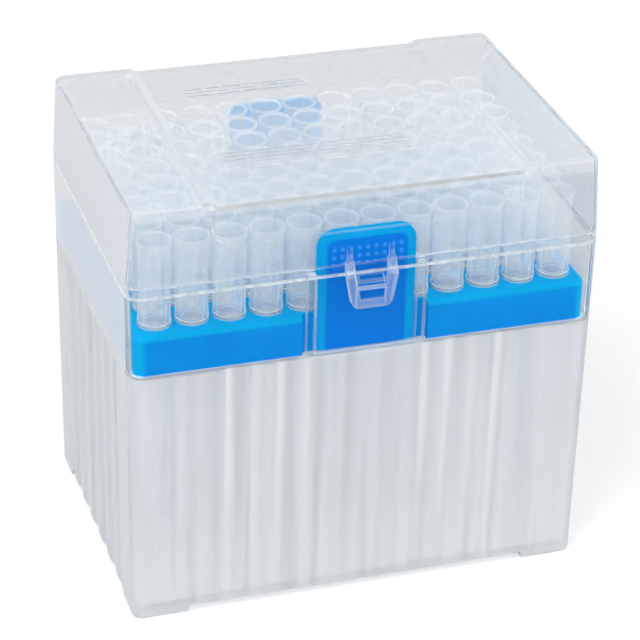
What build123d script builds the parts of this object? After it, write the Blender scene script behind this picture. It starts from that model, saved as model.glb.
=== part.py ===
"""Box of 96 long pipette tips: a clear base with four feet, a hinged clear lid with a snap
latch, a blue rack tray with two grips, and the tips that hang in the tray.

Millimetres. Origin: middle of the box, on the surface it stands on. +X runs along the front,
+Y to the hinge at the back, +Z up. The front, with the latch, faces -Y.
"""

import os
from math import cos, radians, sin, tan

from build123d import *

# ---- Tip grid: the standard 96 positions ----
columns = 12
rows = 8
tip_spacing = 9.0

# ---- Box ----
side_margin = 3.85
front_margin = 4.3
seam_height = 88.5
corner_radius = 3.6
seam_gap = 0.2

# ---- Base ----
base_wall = 1.4
base_draft = 0.53
floor_thickness = 1.5
base_edge_radius = 0.5
foot_height = 1.8
foot_width = 13.7
foot_depth = 11.0
foot_edge_radius = 0.9
lip_height = 1.9
lip_thickness = 0.65
lip_clearance = 0.18

# Ledge that carries the tray, and the ribs under it
ledge_height = 1.4
ledge_reach = 1.6
rib_width = 3.2
rib_pitch = 6.2
ribs_per_side = 4
first_rib = 14.8

# Rounded columns outside the two side walls, with a rib behind each groove between them
scallop_depth = 0.8
scallop_flat = 0.05
scallops = rows - 2
groove_rib_width = 2.0
groove_rib_reach = 0.7

# Guide ribs on each side of the tray's grips
guide_width = 2.1
guide_reach = 1.8
guide_clearance = 0.3

# ---- Lid ----
lid_wall = 1.3
lid_height = 20.65
lid_draft = 2.9
lid_edge_radius = 1.2
strip_rise = 1.0
strip_start = 36.0
strip_ramp = 2.2
panel_half_width = 37.3
panel_height = 9.9
panel_depth = 0.65
panel_corner_radius = 4.5
panel_edge_radius = 0.45

# Plain ridges on the lid's top, in two groups
ridge_width = 0.55
ridge_height = 0.22
ridge_spacing = 1.85
front_ridges = 6
front_ridge_length = 46.0
front_ridge_centre = (-6.5, -17.2)
back_ridges = 3
back_ridge_length = 31.0
back_ridge_centre = (-12.5, 22.4)

# ---- Latch on the lid and catch on the base ----
latch_drop = 8.0
latch_top_width = 12.4
latch_bottom_width = 9.4
latch_corner_radius = 2.0
latch_bar = 2.1
latch_thickness = 2.2
latch_clearance = 0.25
bridge_height = 1.0
bridge_thickness = 1.55
web_thickness = 0.5
web_setback = 0.45
pocket_depth = 1.2
pocket_gap = 0.25
arm_height = 3.6
tail_height = 7.4
tail_width = 1.2
tail_thickness = 0.35
catch_top_gap = 0.25
catch_height = 1.7
catch_reach = 1.3
catch_side_gap = 0.35
catch_slope = 0.4
catch_ramp = 0.8
catch_bridge_gap = 0.25

# ---- Hinge at the back: open clips on the base, lugs and pins on the lid ----
hinge_offset = 30.0
hinge_drop = 2.3
pin_radius = 1.0
pin_clearance = 0.06
clip_radius = 1.9
clip_width = 8.0
clip_mouth = 1.7
clip_gusset = 2.5
lug_radius = 1.7
lug_thickness = 1.8
lug_side_gap = 0.3
lug_wall_gap = 0.3
lug_height = 4.2

# ---- Rack tray ----
tray_height = 77.6
tray_skirt = 10.1
tray_plate = 1.6
tray_wall = 1.2
tray_clearance = 0.4
tray_corner_radius = 3.0
tray_edge_radius = 1.6
hole_clearance = 0.2

# Grips that stand up at the front and the back of the tray
grip_width = 24.3
grip_height = 21.3
grip_thickness = 1.5
grip_setback = 0.5
grip_foot_gap = 0.4
grip_corner_radius = 4.5
grip_edge_width = 2.3
grip_edge_depth = 0.6
rear_grip_drop = 1.5
slot_width = 3.35
dot_columns = 9
dot_rows = 3
dot_pitch = 2.05
dot_radius = 0.5
dot_height = 0.3
dot_drop = 4.8

# ---- Tip ----
tip_length = 81.0
hub_height = 21.7
tip_gap = 0.5
hub_rim_height = 1.2
collar_step = 0.2
collar_height = 1.1
hub_step = 0.4
hub_ribs = 8
hub_rib_width = 0.5
hub_rib_reach = 0.15
mouth_wall = 0.25
mouth_depth = 4.0
mouth_flare = 0.25
mouth_flare_height = 0.4
socket_step = 0.5
socket_floor = 1.5
neck_radius = 3.35
shaft_radius = 2.35
shaft_drop = 27.0
end_radius = 0.6
end_bore_radius = 0.3
tip_wall = 0.45

# ---- Heights and faces that follow from the sizes above ----
box_width = columns * tip_spacing + 2 * side_margin
box_depth = rows * tip_spacing + 2 * front_margin
base_slope = tan(radians(base_draft))
lid_slope = tan(radians(lid_draft))
floor_top = foot_height + floor_thickness
lid_bottom = seam_height + seam_gap
lid_top = lid_bottom + lid_height
strip_top = lid_top + strip_rise
ledge_top = tray_height - tray_skirt
ledge_bottom = ledge_top - ledge_height
inside = base_wall / 2


def base_half(size, height):
    """Half of the base's outside size at a height above the ground."""
    return size / 2 - (seam_height - height) * base_slope


def lid_half(size, height):
    """Half of the lid's outside size at a height above the ground."""
    return size / 2 - (height - lid_bottom) * lid_slope


def base_section(height, inset=0.0):
    """Width, depth and corner radius of the base at a height, pulled in by an inset."""
    width = 2 * (base_half(box_width, height) - inset)
    depth = 2 * (base_half(box_depth, height) - inset)
    return width, depth, corner_radius - (seam_height - height) * base_slope - inset


def rim_section(inset):
    """Width, depth and corner radius at the seam, pulled in by an inset."""
    return box_width - 2 * inset, box_depth - 2 * inset, corner_radius - inset


tray_half_width = base_half(box_width, ledge_top) - base_wall - tray_clearance
tray_half_depth = base_half(box_depth, ledge_top) - base_wall - tray_clearance
grip_top = tray_height + grip_height
grip_face = tray_half_depth - grip_setback
guide_centre = grip_width / 2 + guide_clearance + guide_width / 2
guide_face = base_half(box_depth, ledge_top) - base_wall - guide_reach
slot_centre = (grip_width + slot_width) / 2
slot_face = guide_face - guide_clearance

latch_back = box_depth / 2 + latch_clearance
latch_front = latch_back + latch_thickness
latch_bottom = seam_height - latch_drop
catch_top = seam_height - catch_top_gap
catch_bottom = catch_top - catch_height
bridge_top = catch_bottom - catch_bridge_gap

hinge_z = seam_height - hinge_drop
hinge_y = base_half(box_depth, hinge_z) + lug_wall_gap + lug_radius
lug_centre = clip_width / 2 + lug_side_gap + lug_thickness / 2

hub_top = tray_height + hub_height
tip_end = hub_top - tip_length
hub_rim_radius = (tip_spacing - tip_gap) / 2
collar_radius = hub_rim_radius - collar_step
hub_radius = hub_rim_radius - hub_step
mouth_radius = hub_radius - mouth_wall
socket_radius = mouth_radius - socket_step


def latch_half(height):
    """Half of the latch's outside width at a height above the ground."""
    share = (height - latch_bottom) / (lid_bottom - latch_bottom)
    return (latch_bottom_width + share * (latch_top_width - latch_bottom_width)) / 2


catch_half = latch_half(catch_bottom) - latch_bar - catch_side_gap

# ---- Base: one moulding ----
with BuildPart() as base_box:
    # Outer body, a little wider at the seam than at the floor
    with BuildSketch(Plane.XY.offset(foot_height)):
        RectangleRounded(*base_section(foot_height))
    extrude(amount=seam_height - foot_height, taper=-base_draft)
    fillet(base_box.faces().sort_by(Axis.Z)[0].edges(), base_edge_radius)

    # Feet at the four corners
    foot_x = base_half(box_width, foot_height) - foot_width / 2
    foot_y = base_half(box_depth, foot_height) - foot_depth / 2
    with BuildSketch() as feet:
        RectangleRounded(*base_section(foot_height))
        with GridLocations(2 * foot_x, 2 * foot_y, 2, 2):
            Rectangle(foot_width, foot_depth, mode=Mode.INTERSECT)
    extrude(amount=foot_height + base_edge_radius)
    fillet(base_box.faces().group_by(Axis.Z)[0].edges(), foot_edge_radius)

    # Hollow
    with BuildSketch(Plane.XY.offset(floor_top)):
        RectangleRounded(*base_section(floor_top, base_wall))
    extrude(amount=seam_height - floor_top, taper=-base_draft, mode=Mode.SUBTRACT)

    # Lip that the lid's rim fits around
    with BuildSketch(Plane.XY.offset(seam_height)):
        RectangleRounded(*rim_section(base_wall - lip_thickness))
        RectangleRounded(*rim_section(base_wall), mode=Mode.SUBTRACT)
    extrude(amount=lip_height)

    # Ledge under the tray's skirt
    with BuildSketch(Plane.XY.offset(ledge_bottom)):
        RectangleRounded(*base_section(ledge_bottom, inside))
        RectangleRounded(*base_section(ledge_bottom, base_wall + ledge_reach), mode=Mode.SUBTRACT)
    extrude(amount=ledge_height)

    # Ribs under the ledge, inside the front and back walls
    rib_outer = base_half(box_depth, floor_top) - inside
    rib_inner = base_half(box_depth, ledge_bottom) - base_wall - ledge_reach
    with BuildSketch(Plane.XY.offset(floor_top - inside)):
        for number in range(ribs_per_side):
            rib_x = first_rib + number * rib_pitch
            with GridLocations(2 * rib_x, rib_outer + rib_inner, 2, 2):
                Rectangle(rib_width, rib_outer - rib_inner)
    extrude(amount=ledge_bottom - floor_top + inside)

    # Ribs inside the side walls, one behind each groove
    groove_outer = base_half(box_width, floor_top) - inside
    groove_inner = base_half(box_width, floor_top) - base_wall - groove_rib_reach
    with BuildSketch(Plane.XY.offset(floor_top - inside)):
        with GridLocations(groove_outer + groove_inner, tip_spacing, 2, scallops + 1):
            Rectangle(groove_outer - groove_inner, groove_rib_width)
    extrude(amount=ledge_bottom - floor_top + inside)

    # Rounded columns on the outside of the side walls, up to the ledge
    for side in (-1, 1):
        crest = side * (base_half(box_width, 0) + scallop_flat)
        groove = side * (base_half(box_width, 0) - scallop_depth)
        clear = side * box_width
        with BuildSketch() as scallop:
            with BuildLine():
                for number in range(scallops):
                    start = (number - scallops / 2) * tip_spacing
                    middle = start + tip_spacing / 2
                    ThreePointArc((groove, start), (crest, middle), (groove, start + tip_spacing))
                end = scallops / 2 * tip_spacing
                Polyline((groove, end), (clear, end), (clear, -end), (groove, -end))
            make_face()
        extrude(amount=ledge_bottom, dir=(side * base_slope, 0, 1), mode=Mode.SUBTRACT)

    # Guide ribs for the tray's grips, front and back
    guide_outer = base_half(box_depth, ledge_bottom) - inside
    with BuildSketch(Plane.XY.offset(ledge_bottom)):
        with GridLocations(2 * guide_centre, guide_outer + guide_face, 2, 2):
            Rectangle(guide_width, guide_outer - guide_face)
    extrude(amount=seam_height - ledge_bottom)

    # Catch wedge under the seam, narrower at the top
    with BuildSketch(Plane.XZ.offset(box_depth / 2 - inside)):
        Polygon(
            (-catch_half, catch_bottom),
            (catch_half, catch_bottom),
            (catch_half - catch_slope, catch_top),
            (-catch_half + catch_slope, catch_top),
            align=None,
        )
    extrude(amount=inside + catch_reach)
    catch_front = base_box.edges().filter_by(Axis.X).group_by(Axis.Y)[0]
    chamfer(catch_front.sort_by(Axis.Z)[-1], catch_ramp)

    # Open hinge clips on the back wall
    clip_root = base_half(box_depth, hinge_z) - inside
    for side in (-1, 1):
        with BuildSketch(Plane.YZ.offset(side * hinge_offset)):
            with Locations((hinge_y, hinge_z)):
                Circle(clip_radius)
            Polygon(
                (clip_root, hinge_z + clip_radius),
                (hinge_y, hinge_z + clip_radius),
                (hinge_y, hinge_z - clip_radius),
                (clip_root, hinge_z - clip_radius - clip_gusset),
                align=None,
            )
            with Locations((hinge_y, hinge_z)):
                Circle(pin_radius + pin_clearance, mode=Mode.SUBTRACT)
                Rectangle(
                    2 * clip_radius, clip_mouth, align=(Align.MIN, Align.CENTER), mode=Mode.SUBTRACT
                )
        extrude(amount=clip_width / 2, both=True)

# ---- Lid: one moulding ----
# Its hollow: follows the outside one wall further in, with the raised strips left and right
with BuildPart() as lid_hollow:
    with BuildSketch(Plane.XY.offset(lid_bottom)):
        RectangleRounded(*rim_section(lid_wall))
    extrude(amount=strip_top - lid_wall - lid_bottom, taper=lid_draft)
    with BuildSketch(Plane.XZ):
        Polygon(
            (-strip_start - lid_wall, lid_top - lid_wall),
            (strip_start + lid_wall, lid_top - lid_wall),
            (strip_start + strip_ramp + lid_wall, strip_top - lid_wall),
            (-strip_start - strip_ramp - lid_wall, strip_top - lid_wall),
            align=None,
        )
    extrude(amount=box_depth, both=True, mode=Mode.SUBTRACT)

with BuildPart() as lid:
    # Outer body
    with BuildSketch(Plane.XY.offset(lid_bottom)):
        RectangleRounded(*rim_section(0))
    extrude(amount=strip_top - lid_bottom, taper=lid_draft)
    fillet(lid.faces().sort_by(Axis.Z)[-1].edges(), lid_edge_radius)

    # Lower middle of the top, between the strips
    with BuildSketch(Plane.XZ):
        Polygon(
            (-strip_start, lid_top),
            (strip_start, lid_top),
            (strip_start + strip_ramp, strip_top),
            (-strip_start - strip_ramp, strip_top),
            align=None,
        )
    extrude(amount=box_depth, both=True, mode=Mode.SUBTRACT)

    # Sunk panels at the top of the front and back walls
    panel_bottom = lid_top - panel_height
    panel_y = lid_half(box_depth, panel_bottom) - panel_depth
    lean = radians(lid_draft)
    for side in (-1, 1):
        wall_plane = Plane(
            origin=(0, side * panel_y, panel_bottom),
            x_dir=(-side, 0, 0),
            z_dir=(0, side * cos(lean), sin(lean)),
        )
        with BuildSketch(wall_plane) as panel:
            Rectangle(2 * panel_half_width, 2 * panel_height, align=(Align.CENTER, Align.MIN))
            fillet(panel.vertices().group_by(Axis.Y)[0], panel_corner_radius)
        extrude(amount=2 * panel_depth, mode=Mode.SUBTRACT)
    middle_top = lid.faces().filter_by(Axis.Z).sort_by(SortBy.AREA)[-1]
    fillet(middle_top.edges().filter_by(Axis.X), panel_edge_radius)

    # Hollow, and the rebate that takes the base's lip
    add(lid_hollow.part, mode=Mode.SUBTRACT)
    with BuildSketch(Plane.XY.offset(lid_bottom)):
        RectangleRounded(*rim_section(base_wall - lip_thickness - lip_clearance))
    extrude(amount=lip_height + seam_gap, mode=Mode.SUBTRACT)

    # Plain ridges on the top
    ridge_groups = (
        (front_ridges, front_ridge_length, front_ridge_centre),
        (back_ridges, back_ridge_length, back_ridge_centre),
    )
    for count, length, centre in ridge_groups:
        with BuildSketch(Plane.XY.offset(lid_top - ridge_height)):
            with Locations(centre):
                with GridLocations(0, ridge_spacing, 1, count):
                    SlotOverall(length, ridge_width)
        extrude(amount=2 * ridge_height)

    # Latch: a ring that hangs over the catch
    with BuildSketch(Plane.XZ.offset(latch_back)) as latch_ring:
        with BuildLine():
            Polyline(
                (-latch_half(lid_bottom), lid_bottom),
                (-latch_half(latch_bottom), latch_bottom),
                (latch_half(latch_bottom), latch_bottom),
                (latch_half(lid_bottom), lid_bottom),
                close=True,
            )
        make_face()
        fillet(latch_ring.vertices().group_by(Axis.Y)[0], latch_corner_radius)
        window_bottom = latch_bottom + latch_bar
        Polygon(
            (-latch_half(lid_bottom) + latch_bar, lid_bottom),
            (-latch_half(window_bottom) + latch_bar, window_bottom),
            (latch_half(window_bottom) - latch_bar, window_bottom),
            (latch_half(lid_bottom) - latch_bar, lid_bottom),
            align=None,
            mode=Mode.SUBTRACT,
        )
    extrude(amount=latch_thickness)

    # Pocket in the back of the ring's lower part, so that only the bridge meets the catch
    with BuildSketch(Plane.XZ.offset(latch_back)):
        with Locations((0, window_bottom)):
            Rectangle(2 * (catch_half + pocket_gap), 4 * latch_bar)
    extrude(amount=pocket_depth, mode=Mode.SUBTRACT)

    # Bridge that snaps under the catch, and the thin web below it
    bridge_half = latch_half(bridge_top) - latch_bar / 2
    with BuildSketch(Plane.XZ.offset(latch_front)):
        with Locations((0, bridge_top - bridge_height / 2)):
            Rectangle(2 * bridge_half, bridge_height)
    extrude(amount=-bridge_thickness)
    web_half = latch_half(window_bottom) - latch_bar / 2
    with BuildSketch(Plane.XZ.offset(latch_front - web_setback)):
        with Locations((0, bridge_top - bridge_height)):
            Rectangle(
                2 * web_half,
                bridge_top - bridge_height - window_bottom + latch_bar / 2,
                align=(Align.CENTER, Align.MAX),
            )
    extrude(amount=-web_thickness)

    # Arms that carry the ring on the front wall, and their low tails
    arm_top = lid_bottom + arm_height
    tail_top = lid_bottom + tail_height
    inner_skin = (base_wall - lip_thickness - lip_clearance) / 2
    for side in (-1, 1):
        arm_x = side * (latch_half(lid_bottom) - latch_bar / 2)
        with BuildSketch(Plane.YZ.offset(arm_x)):
            Polygon(
                (-lid_half(box_depth, lid_bottom) + inner_skin, lid_bottom),
                (-latch_front, lid_bottom),
                (-lid_half(box_depth, arm_top), arm_top),
                (-lid_half(box_depth, arm_top) + inner_skin, arm_top),
                align=None,
            )
        extrude(amount=latch_bar / 2, both=True)
        with BuildSketch(Plane.YZ.offset(arm_x)):
            Polygon(
                (-lid_half(box_depth, lid_bottom) + inner_skin, lid_bottom),
                (-lid_half(box_depth, lid_bottom) - tail_thickness, lid_bottom),
                (-lid_half(box_depth, arm_top) - tail_thickness, arm_top),
                (-lid_half(box_depth, tail_top), tail_top),
                (-lid_half(box_depth, tail_top) + inner_skin, tail_top),
                align=None,
            )
        extrude(amount=tail_width / 2, both=True)

    # Hinge lugs, with a short pin between each pair
    for side in (-1, 1):
        for end in (-1, 1):
            with BuildSketch(Plane.YZ.offset(side * hinge_offset + end * lug_centre)):
                with Locations((hinge_y, hinge_z)):
                    Circle(lug_radius)
                Polygon(
                    (hinge_y - lug_radius, hinge_z),
                    (hinge_y - lug_radius, lid_bottom),
                    (lid_half(box_depth, lid_bottom) - inner_skin, lid_bottom),
                    (lid_half(box_depth, lid_bottom + lug_height) - inner_skin, lid_bottom + lug_height),
                    (hinge_y + lug_radius, lid_bottom + lug_radius / 2),
                    (hinge_y + lug_radius, hinge_z),
                    align=None,
                )
            extrude(amount=lug_thickness / 2, both=True)
        with BuildSketch(Plane.YZ.offset(side * hinge_offset)):
            with Locations((hinge_y, hinge_z)):
                Circle(pin_radius)
        extrude(amount=lug_centre, both=True)

# ---- Rack tray: one moulding ----
# Its front grip: a plate with a sloped edge round the front, and a field of dots
with BuildPart() as grip:
    grip_foot = ledge_top + grip_foot_gap
    with BuildSketch(Plane.XZ.offset(grip_face)) as grip_outline:
        with Locations((0, grip_foot)):
            Rectangle(grip_width, grip_top - grip_foot, align=(Align.CENTER, Align.MIN))
        fillet(grip_outline.vertices().group_by(Axis.Y)[-1], grip_corner_radius)
    extrude(amount=-grip_thickness)
    front = grip.faces().sort_by(Axis.Y)[0]
    sloped = front.edges().sort_by(Axis.Z)[1:]
    chamfer(sloped, grip_edge_width, grip_edge_depth, reference=front)
    with BuildSketch(Plane.XZ.offset(grip_face)):
        with Locations((0, grip_top - dot_drop - (dot_rows - 1) / 2 * dot_pitch)):
            with GridLocations(dot_pitch, dot_pitch, dot_columns, dot_rows):
                Circle(dot_radius)
    extrude(amount=dot_height)

with BuildPart() as rack_tray:
    # Plate and skirt
    with BuildSketch(Plane.XY.offset(ledge_top)):
        RectangleRounded(2 * tray_half_width, 2 * tray_half_depth, tray_corner_radius)
    extrude(amount=tray_skirt)
    fillet(rack_tray.faces().sort_by(Axis.Z)[-1].edges(), tray_edge_radius)
    with BuildSketch(Plane.XY.offset(ledge_top)):
        RectangleRounded(
            2 * (tray_half_width - tray_wall),
            2 * (tray_half_depth - tray_wall),
            tray_corner_radius - tray_wall,
        )
    extrude(amount=tray_skirt - tray_plate, mode=Mode.SUBTRACT)

    # Walls round the slots that clear the base's guide ribs, front and back
    slot_depth = tray_half_depth - slot_face
    slot_wall_depth = slot_depth + tray_wall / 2
    slot_wall_gap = 2 * tray_half_depth - tray_wall - slot_wall_depth
    with BuildSketch(Plane.XY.offset(ledge_top)):
        with GridLocations(2 * slot_centre, slot_wall_gap, 2, 2):
            Rectangle(slot_width + 2 * tray_wall, slot_wall_depth)
    extrude(amount=tray_skirt - tray_plate / 2)

    # Front and back give way to a grip and to the slot on each side of it
    with BuildSketch(Plane.XY.offset(ledge_top)):
        with GridLocations(0, 2 * tray_half_depth, 1, 2):
            Rectangle(2 * slot_centre + slot_width, 2 * slot_depth)
    extrude(amount=tray_skirt, mode=Mode.SUBTRACT)
    add(grip.part)
    mirror(grip.part, about=Plane.XZ)
    # The rear grip ends level, lower than the front one
    with BuildSketch(Plane.XY.offset(grip_top - rear_grip_drop)):
        with Locations((0, grip_face)):
            Rectangle(grip_width, 2 * (grip_thickness + grip_setback))
    extrude(amount=grip_corner_radius, mode=Mode.SUBTRACT)

    # Holes that carry the tips
    with BuildSketch(Plane.XY.offset(tray_height)):
        with GridLocations(tip_spacing, tip_spacing, columns, rows):
            Circle(neck_radius + hole_clearance)
    extrude(amount=-tray_skirt / 2, mode=Mode.SUBTRACT)

# ---- Tip: one moulding, turned about its axis ----
with BuildPart() as tip:
    with BuildSketch(Plane.XZ):
        with BuildLine():
            Polyline(
                (end_bore_radius, tip_end),
                (end_radius, tip_end),
                (shaft_radius, tray_height - shaft_drop),
                (neck_radius, tray_height),
                (collar_radius, tray_height),
                (collar_radius, tray_height + collar_height),
                (hub_radius, tray_height + collar_height),
                (hub_radius, hub_top - hub_rim_height),
                (hub_rim_radius, hub_top - hub_rim_height),
                (hub_rim_radius, hub_top),
                (mouth_radius + mouth_flare, hub_top),
                (mouth_radius, hub_top - mouth_flare_height),
                (mouth_radius, hub_top - mouth_depth),
                (socket_radius, tray_height + socket_floor),
                (neck_radius - tip_wall, tray_height),
                (shaft_radius - tip_wall, tray_height - shaft_drop),
                close=True,
            )
        make_face()
    revolve(axis=Axis.Z)

    # Upright ribs round the hub, from the collar to the rim
    rib_root = (mouth_radius + hub_radius) / 2
    with BuildSketch(Plane.XY.offset(tray_height + collar_height / 2)):
        with PolarLocations((hub_radius + hub_rib_reach + rib_root) / 2, hub_ribs):
            Rectangle(hub_radius + hub_rib_reach - rib_root, hub_rib_width)
    extrude(amount=hub_height - (collar_height + hub_rim_height) / 2)

os.makedirs("parts", exist_ok=True)
base_box.part.label = "base_box"
export_step(base_box.part, "parts/base_box.step")
lid.part.label = "lid"
export_step(lid.part, "parts/lid.step")
rack_tray.part.label = "rack_tray"
export_step(rack_tray.part, "parts/rack_tray.step")

# One node for each column of eight tips
for column in range(columns):
    column_x = (column - (columns - 1) / 2) * tip_spacing
    with BuildPart() as tips_column:
        with Locations((column_x, 0, 0)):
            with GridLocations(0, tip_spacing, 1, rows):
                add(tip.part)
    name = f"tips_column_{column + 1:02d}"
    tips_column.part.label = name
    export_step(tips_column.part, f"parts/{name}.step")
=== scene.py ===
"""Looks of a box of pipette tips: a milky clear box and lid, a blue rack tray and clear tips."""
from math import radians

import bpy
from mathutils import Matrix, Vector

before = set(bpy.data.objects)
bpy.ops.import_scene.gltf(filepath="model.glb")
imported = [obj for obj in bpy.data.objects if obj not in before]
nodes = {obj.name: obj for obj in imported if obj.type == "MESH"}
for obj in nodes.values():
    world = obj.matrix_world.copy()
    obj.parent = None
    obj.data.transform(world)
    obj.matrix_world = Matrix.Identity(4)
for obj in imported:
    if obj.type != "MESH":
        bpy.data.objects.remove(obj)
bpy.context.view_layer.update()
MM = 0.001

# Heights above the floor
LEDGE_LOW = 65.8 * MM  # the ledge that carries the tray, inside the base
LEDGE_HIGH = 67.8 * MM
BELOW_TRAY = 67.2 * MM  # the base is milky up to here, and clear from CLEAR_FROM up
CLEAR_FROM = 68.2 * MM
SEAM = 88.7 * MM  # the lid's rim
COLLAR_LOW = 77.65 * MM  # the two fine rings round a tip, just above the tray
COLLAR_HIGH = 78.6 * MM
MOUTH = 98.95 * MM  # the rim of a tip's mouth
LID_FACE = 107.3 * MM  # the lid's top begins here

# Places across and along the box
RIB_START = 14.8 * MM  # the first rib of the base's front, from the middle
RIB_PITCH = 6.2 * MM
RIBS = 4
FRONT_AT_SEAM = 40.3 * MM  # the lid's front face at the seam, which leans back by DRAFT
DRAFT = 0.0507
GRIP_FACE = 37.8 * MM  # the face of the tray's grips, on which the dots stand

# Light
WORLD_LIGHT = 0.55  # what the world gives diffuse surfaces; seen itself, it is white
FLOOR_GLOW = 0.5
THROUGH = 0.25  # share of the floor's glow that is seen through clear plastic

# Camera
CAMERA_PLACE = (-0.17953, -0.54895, 0.37625)
CAMERA_TURN = -18.235  # degrees to the side, down and about the line of sight
CAMERA_TILT = 29.153
CAMERA_ROLL = 1.585
LENS = 148.33

scene = bpy.context.scene
scene.view_settings.view_transform = "Standard"
# A ray passes many clear walls and tips
scene.cycles.max_bounces = 32
scene.cycles.diffuse_bounces = 10
scene.cycles.transmission_bounces = 32
scene.cycles.transparent_max_bounces = 48


# ---- Node helpers ----
class Shader:
    """A material's node tree, with short calls for the nodes used here."""

    def __init__(self, name):
        self.material = bpy.data.materials.new(name)
        self.material.use_nodes = True
        self.tree = self.material.node_tree
        self.surface = self.tree.nodes["Principled BSDF"]
        coordinates = self.tree.nodes.new("ShaderNodeTexCoord")
        self.place = coordinates.outputs["Object"]
        split = self.tree.nodes.new("ShaderNodeSeparateXYZ")
        self.tree.links.new(self.place, split.inputs[0])
        self.x, self.y, self.z = split.outputs

    def put(self, socket, value):
        if isinstance(value, bpy.types.NodeSocket):
            self.tree.links.new(value, socket)
        else:
            socket.default_value = value

    def set(self, **values):
        for name, value in values.items():
            self.put(self.surface.inputs[name.replace("_", " ")], value)

    def math(self, operation, a, b=0.0, c=0.0):
        node = self.tree.nodes.new("ShaderNodeMath")
        node.operation = operation
        for socket, value in zip(node.inputs, (a, b, c)):
            self.put(socket, value)
        return node.outputs[0]

    def ramp(self, value, low, high, out_low=0.0, out_high=1.0):
        """Smooth change of a value from out_low at low to out_high at high."""
        node = self.tree.nodes.new("ShaderNodeMapRange")
        node.interpolation_type = "SMOOTHSTEP"
        for socket, item in zip(node.inputs, (value, low, high, out_low, out_high)):
            self.put(socket, item)
        return node.outputs[0]

    def mix(self, factor, a, b):
        node = self.tree.nodes.new("ShaderNodeMix")
        node.data_type = "FLOAT"
        for socket, value in zip((node.inputs[0], node.inputs[2], node.inputs[3]), (factor, a, b)):
            self.put(socket, value)
        return node.outputs[0]

    def colour(self, factor, a, b):
        node = self.tree.nodes.new("ShaderNodeMix")
        node.data_type = "RGBA"
        for socket, value in zip((node.inputs[0], node.inputs[6], node.inputs[7]), (factor, a, b)):
            self.put(socket, value)
        return node.outputs[2]

    def noise(self, scale, stretch=(1, 1, 1), detail=2.0):
        mapping = self.tree.nodes.new("ShaderNodeMapping")
        mapping.inputs["Scale"].default_value = stretch
        self.tree.links.new(self.place, mapping.inputs["Vector"])
        node = self.tree.nodes.new("ShaderNodeTexNoise")
        node.inputs["Scale"].default_value = scale
        node.inputs["Detail"].default_value = detail
        self.tree.links.new(mapping.outputs[0], node.inputs["Vector"])
        return node.outputs["Fac"]

    def bump(self, height, strength, distance):
        node = self.tree.nodes.new("ShaderNodeBump")
        node.inputs["Strength"].default_value = strength
        node.inputs["Distance"].default_value = distance
        self.tree.links.new(height, node.inputs["Height"])
        return node.outputs[0]

    def between(self, value, low, high, soft):
        """1 between low and high, falling to 0 over a soft edge."""
        rise = self.ramp(value, low - soft, low)
        fall = self.ramp(value, high, high + soft, 1.0, 0.0)
        return self.math("MULTIPLY", rise, fall)

    def edges(self, radius):
        """1 on edges, falling to 0 away from them."""
        bevel = self.tree.nodes.new("ShaderNodeBevel")
        bevel.samples = 3
        bevel.inputs["Radius"].default_value = radius
        surface = self.tree.nodes.new("ShaderNodeNewGeometry")
        turn = self.tree.nodes.new("ShaderNodeVectorMath")
        turn.operation = "DOT_PRODUCT"
        self.tree.links.new(bevel.outputs[0], turn.inputs[0])
        self.tree.links.new(surface.outputs["Normal"], turn.inputs[1])
        return self.ramp(turn.outputs["Value"], 0.75, 0.99, 1.0, 0.0)

    def normal(self):
        """X, Y and Z of the surface's own normal."""
        surface = self.tree.nodes.new("ShaderNodeNewGeometry")
        split = self.tree.nodes.new("ShaderNodeSeparateXYZ")
        self.tree.links.new(surface.outputs["Normal"], split.inputs[0])
        return split.outputs

    def facing(self):
        node = self.tree.nodes.new("ShaderNodeLayerWeight")
        node.inputs["Blend"].default_value = 0.5
        return node.outputs["Facing"]

    def dress(self, *names):
        for name in names:
            slots = nodes[name].data.materials
            slots.clear()
            slots.append(self.material)


# ---- Clear plastic of the base and the lid ----
# Milky where it is seen edge on; whiter along its edges, which is a painted highlight
CLEAR = (0.955, 0.975, 0.99, 1)
SMOKE = (0.945, 0.97, 0.99, 1)
MILKY = (0.89, 0.92, 0.95, 1)
EDGE_HIGHLIGHT = (0.96, 0.975, 0.985, 1)
BOX_IOR = 1.1
LATCH = (0.88, 0.97, 0.985, 1)


def side_walls(shader):
    """1 on the faces that look left and right, 0 elsewhere."""
    return shader.ramp(shader.math("ABSOLUTE", shader.normal()[0]), 0.8, 0.97)


def on_latch(shader):
    """1 on the latch, which stands in front of the lid and the base, 0 elsewhere."""
    return shader.ramp(shader.y, -40.7 * MM, -40.5 * MM, 1.0, 0.0)


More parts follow.
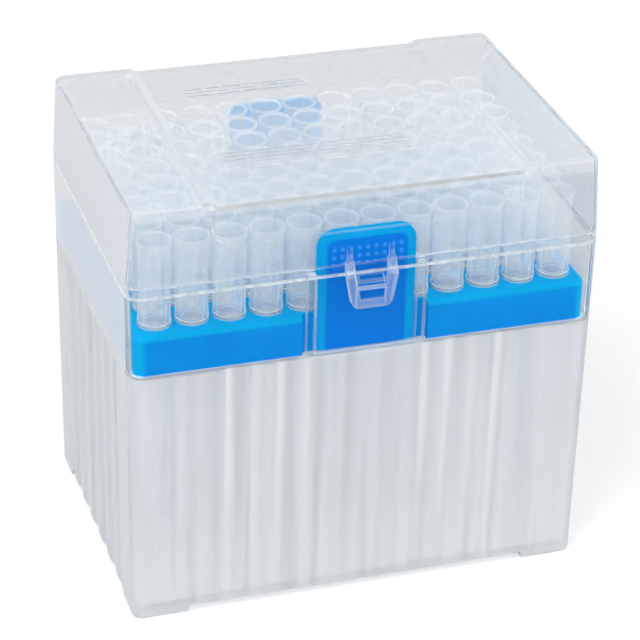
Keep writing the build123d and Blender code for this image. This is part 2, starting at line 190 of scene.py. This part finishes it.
def clear_plastic(name, roughness, haze, highlight_strength):
    """Clear plastic whose roughness, haze and painted edge highlights are given as functions of
    the shader.
    """
    shader = Shader(name)
    grain = shader.noise(2600.0, detail=3.0)
    drift = shader.noise(60.0, (1, 1, 0.25))
    streaks = shader.noise(420.0, (1, 1, 0.02))
    facing = shader.facing()
    # Painted highlight along the edges: a whiter colour and more veil there
    edge_highlight_mask = shader.math("MULTIPLY", shader.edges(0.5 * MM), highlight_strength(shader))
    veil = shader.ramp(facing, 0.5, 0.95, 0.0, 0.9)
    veil = shader.math("MAXIMUM", veil, shader.math("MULTIPLY", edge_highlight_mask, 0.4))
    tint = shader.colour(shader.ramp(facing, 0.3, 0.55), CLEAR, SMOKE)
    tint = shader.colour(shader.ramp(veil, 0.05, 0.3), tint, MILKY)
    latch = on_latch(shader)
    # Colour of the painted edge highlight; on the latch it is the latch's own colour
    edge_highlight_colour = shader.colour(latch, EDGE_HIGHLIGHT, LATCH)
    tint = shader.colour(latch, tint, LATCH)
    mist = shader.math("MULTIPLY", haze(shader), shader.ramp(streaks, 0.3, 0.7, 0.75, 1.25))
    veil = shader.math("MAXIMUM", veil, mist)
    rough = shader.math("MULTIPLY", roughness(shader), shader.ramp(drift, 0.2, 0.8, 0.9, 1.1))
    shader.set(
        Base_Color=shader.colour(edge_highlight_mask, tint, edge_highlight_colour),
        Roughness=rough,
        IOR=BOX_IOR,
        Transmission_Weight=shader.math("SUBTRACT", 1.0, veil),
        Normal=shader.bump(grain, 0.15, 0.05 * MM),
    )
    return shader


def base_roughness(shader):
    """Frosted below the tray, nearly smooth above it."""
    low = shader.ramp(shader.z, BELOW_TRAY, CLEAR_FROM, 0.5, 0.08)
    return shader.math("MAXIMUM", low, shader.math("MULTIPLY", side_walls(shader), 0.15))


def base_haze(shader):
    """Haze of the base: its lower walls, front ribs, rim, sides and tray ledge."""
    below = shader.ramp(shader.z, BELOW_TRAY, CLEAR_FROM, 1.0, 0.0)
    wall = shader.math("MULTIPLY", below, shader.ramp(shader.z, 0.0, 55 * MM, 0.5, 0.34))
    across = shader.math("ABSOLUTE", shader.x)
    ribs = 0.0
    for number in range(RIBS):
        centre = RIB_START + RIB_PITCH * number
        band = shader.between(across, centre - 0.9 * MM, centre + 0.9 * MM, 0.6 * MM)
        ribs = shader.math("MAXIMUM", band, ribs)
    ribs = shader.math("MULTIPLY", shader.math("MULTIPLY", ribs, below), 0.6)
    rim = shader.between(shader.z, SEAM - 0.28 * MM, SEAM - 0.18 * MM, 0.05 * MM)
    rim = shader.math("MULTIPLY", rim, 0.6)
    side = shader.ramp(shader.z, 66 * MM, 68 * MM, 0.38, 0.04)
    side = shader.math("MULTIPLY", side_walls(shader), side)
    level = shader.ramp(shader.math("ABSOLUTE", shader.normal()[2]), 0.4, 0.6)
    ledge = shader.between(shader.z, LEDGE_LOW, LEDGE_HIGH, 0.1 * MM)
    ledge = shader.math("MULTIPLY", level, ledge)
    wall = shader.math("MAXIMUM", wall, shader.math("MAXIMUM", side, ledge))
    return shader.math("MAXIMUM", rim, shader.math("MAXIMUM", wall, ribs))


def base_edge_highlights(shader):
    """Painted highlights along the base's edges: faint below the tray, none on the lip under the
    lid.
    """
    low = shader.ramp(shader.z, 67.5 * MM, 68.5 * MM, 0.3, 1.0)
    lip = shader.ramp(shader.z, SEAM - 0.2 * MM, SEAM - 0.1 * MM, 1.0, 0.0)
    return shader.math("MULTIPLY", low, lip)


def lid_roughness(shader):
    """A little frosted, more so on the sides."""
    top = shader.ramp(shader.z, 106.0 * MM, 108.0 * MM, 0.14, 0.1)
    return shader.math("MAXIMUM", top, shader.math("MULTIPLY", side_walls(shader), 0.4))


def lid_haze(shader):
    """Haze of the lid: its rim, sides, latch and top."""
    rim = shader.ramp(shader.z, SEAM + 0.04 * MM, SEAM + 0.16 * MM, 0.7, 0.0)
    behind_latch = shader.ramp(shader.y, -40.6 * MM, -40.2 * MM)
    rim = shader.math("MULTIPLY", rim, behind_latch)
    side = shader.math("MULTIPLY", side_walls(shader), 0.3)

    # The latch's bar, and its two arms where they run up the leaning front face
    bar = shader.ramp(shader.y, -42.6 * MM, -42.45 * MM, 0.2, 0.0)
    rise = shader.math("MULTIPLY", shader.math("SUBTRACT", shader.z, SEAM), DRAFT)
    proud = shader.math("ADD", shader.y, shader.math("SUBTRACT", FRONT_AT_SEAM, rise))
    arms = shader.math(
        "MULTIPLY",
        shader.ramp(proud, -0.2 * MM, -0.08 * MM, 1.0, 0.0),
        shader.ramp(shader.z, SEAM, 96 * MM, 0.3, 0.0),
    )
    arms = shader.math("MULTIPLY", arms, shader.ramp(shader.z, SEAM - 0.2 * MM, SEAM))
    latch = shader.math("MAXIMUM", bar, arms)

    # The top, a little more along its front edge, and a painted highlight of more haze on the
    # slopes of its ridges
    top = shader.math(
        "MULTIPLY",
        shader.ramp(shader.y, -38.3 * MM, -38.0 * MM, 0.18, 0.15),
        shader.ramp(shader.z, LID_FACE - 0.7 * MM, LID_FACE),
    )
    # Painted highlight: the slopes of the ridges get more haze, so they show lighter
    ridge_slope_highlight = shader.ramp(shader.math("ABSOLUTE", shader.normal()[2]), 0.9, 0.97, 0.25, 0.0)
    inside = shader.math(
        "MULTIPLY",
        shader.ramp(shader.math("ABSOLUTE", shader.x), 30.0 * MM, 31.0 * MM, 1.0, 0.0),
        shader.ramp(shader.math("ABSOLUTE", shader.y), 35.0 * MM, 35.5 * MM, 1.0, 0.0),
    )
    ridge_slope_highlight = shader.math("MULTIPLY", ridge_slope_highlight, inside)
    ridge_slope_highlight = shader.math("MULTIPLY", ridge_slope_highlight, shader.ramp(shader.z, LID_FACE - 0.3 * MM, LID_FACE))
    top = shader.math("MAXIMUM", top, ridge_slope_highlight)

    walls = shader.math("MAXIMUM", rim, side)
    return shader.math("MAXIMUM", walls, shader.math("MAXIMUM", latch, top))


def lid_edge_highlights(shader):
    """Painted highlights along the lid's edges: none along its rim, full on the latch."""
    above = shader.ramp(shader.z, 89.3 * MM, 90.3 * MM, 0.0, 0.6)
    return shader.math("MAXIMUM", above, on_latch(shader))


clear_plastic("clear base", base_roughness, base_haze, base_edge_highlights).dress("base_box")
clear_plastic("clear lid", lid_roughness, lid_haze, lid_edge_highlights).dress("lid")

# ---- Blue moulded plastic of the rack tray ----
blue = Shader("blue tray")
tone = blue.noise(90.0, detail=2.0)
speck = blue.noise(1800.0, detail=2.0)
across = blue.math("ABSOLUTE", blue.x)
depth = blue.math("ABSOLUTE", blue.y)
flat = blue.colour(blue.ramp(tone, 0.3, 0.7), (0.0, 0.29, 0.81, 1), (0.0, 0.33, 0.86, 1))
field = blue.math(
    "MULTIPLY",
    blue.ramp(across, 9.6 * MM, 10.1 * MM, 1.0, 0.0),
    blue.ramp(blue.z, 96.4 * MM, 96.9 * MM, 1.0, 0.0),
)
grip = blue.ramp(depth, GRIP_FACE - 0.1 * MM, GRIP_FACE - 0.02 * MM)
# Painted highlight: the dots that stand proud of the grip face get a lighter blue
dot_highlight = blue.math("MULTIPLY", field, blue.ramp(depth, GRIP_FACE + 0.03 * MM, GRIP_FACE + 0.15 * MM))
flat = blue.colour(blue.math("MULTIPLY", field, grip), flat, (0.0, 0.22, 0.80, 1))
# Painted light: faces that don't look straight out to the front or back, such as the chamfers
# round the grips and the tray's top, get a lighter cyan
outwards = blue.math("MULTIPLY", blue.normal()[1], blue.math("SIGN", blue.y))
bevel_highlight = blue.ramp(outwards, 0.95, 0.995, 0.75, 0.0)
with_lit_bevels = blue.colour(bevel_highlight, flat, (0.0, 0.46, 0.82, 1))
blue.set(
    Base_Color=blue.colour(dot_highlight, with_lit_bevels, (0.04, 0.36, 0.90, 1)),
    Roughness=blue.ramp(speck, 0.2, 0.8, 0.34, 0.44),
    Specular_IOR_Level=0.03,
    Normal=blue.bump(speck, 0.12, 0.04 * MM),
)
blue.dress("rack_tray")

# ---- Clear plastic of the tips ----
tip = Shader("clear tip")
rim = tip.facing()
haze = tip.noise(300.0, (1, 1, 0.1))
fade = tip.ramp(tip.z, 79.0 * MM, 92.0 * MM)
mouth = tip.ramp(tip.z, MOUTH - 0.2 * MM, MOUTH)
rings = tip.math(
    "ADD",
    tip.between(tip.z, COLLAR_LOW, COLLAR_LOW + 0.15 * MM, 0.05 * MM),
    tip.between(tip.z, COLLAR_HIGH, COLLAR_HIGH + 0.15 * MM, 0.05 * MM),
)
rings = tip.math("MULTIPLY", rings, 0.7)
low = tip.ramp(rim, 0.3, 0.95, 0.23, 0.6)
high = tip.ramp(rim, 0.3, 0.95, 0.11, 0.14)
clear = tip.mix(fade, low, high)
mouth = tip.math("MULTIPLY", mouth, tip.ramp(tip.y, 0.0, 27.0 * MM, 0.2, 0.5))
tip.set(
    Base_Color=(0.96, 0.985, 1.0, 1),
    Roughness=tip.ramp(haze, 0.2, 0.8, 0.12, 0.2),
    Specular_IOR_Level=0.3,
    Alpha=tip.math("MAXIMUM", clear, tip.math("MAXIMUM", mouth, rings)),
)
tip.dress(*[name for name in nodes if name.startswith("tips_column")])

# ---- Floor ----
bpy.ops.mesh.primitive_plane_add(size=6.0, location=(0, 0, -0.02 * MM))
floor = bpy.context.object
floor.name = "floor"
ground = Shader("pale floor")
rays = ground.tree.nodes.new("ShaderNodeLightPath").outputs
mirrored = ground.math("SUBTRACT", rays["Is Glossy Ray"], rays["Is Transmission Ray"])
seen = ground.math("MAXIMUM", rays["Is Camera Ray"], mirrored)
seen = ground.math("MAXIMUM", seen, ground.math("MULTIPLY", rays["Is Transmission Ray"], THROUGH))
ground.set(
    Base_Color=(0.58, 0.58, 0.585, 1),
    Roughness=0.9,
    Specular_IOR_Level=0.0,
    Emission_Color=(1, 1, 1, 1),
    Emission_Strength=ground.math("MULTIPLY", seen, FLOOR_GLOW),
)
floor.data.materials.append(ground.material)

# ---- World ----
world = bpy.data.worlds.new("studio")
scene.world = world
world.use_nodes = True
sky = world.node_tree
background = sky.nodes["Background"]
path = sky.nodes.new("ShaderNodeLightPath")
seen = path.outputs["Is Camera Ray"]
for kind in ("Is Glossy Ray", "Is Transmission Ray"):
    both = sky.nodes.new("ShaderNodeMath")
    both.operation = "MAXIMUM"
    sky.links.new(seen, both.inputs[0])
    sky.links.new(path.outputs[kind], both.inputs[1])
    seen = both.outputs[0]
level = sky.nodes.new("ShaderNodeMapRange")
level.inputs["To Min"].default_value = WORLD_LIGHT
level.inputs["To Max"].default_value = 1.0
sky.links.new(seen, level.inputs["Value"])
sky.links.new(level.outputs[0], background.inputs["Strength"])
background.inputs["Color"].default_value = (1, 1, 1, 1)


# ---- Lamps ----
def softbox(name, place, aim, size, power):
    data = bpy.data.lights.new(name, "AREA")
    data.shape = "DISK"
    data.size = size
    data.energy = power
    lamp = bpy.data.objects.new(name, data)
    scene.collection.objects.link(lamp)
    lamp.location = place
    lamp.rotation_euler = (Vector(aim) - Vector(place)).to_track_quat("-Z", "Y").to_euler()


softbox("key", (-0.5, -0.4, 0.9), (0, 0, 0.05), 0.6, 6.0)
softbox("fill", (0.7, -0.5, 0.5), (0, 0, 0.05), 0.6, 2.5)

# ---- Camera ----
lens = bpy.data.cameras.new("camera")
lens.sensor_width = 36.0
lens.lens = LENS
camera = bpy.data.objects.new("camera", lens)
scene.collection.objects.link(camera)
turn = (
    Matrix.Rotation(radians(CAMERA_TURN), 4, "Z")
    @ Matrix.Rotation(radians(90 - CAMERA_TILT), 4, "X")
    @ Matrix.Rotation(radians(CAMERA_ROLL), 4, "Z")
)
camera.matrix_world = Matrix.Translation(CAMERA_PLACE) @ turn
scene.camera = camera
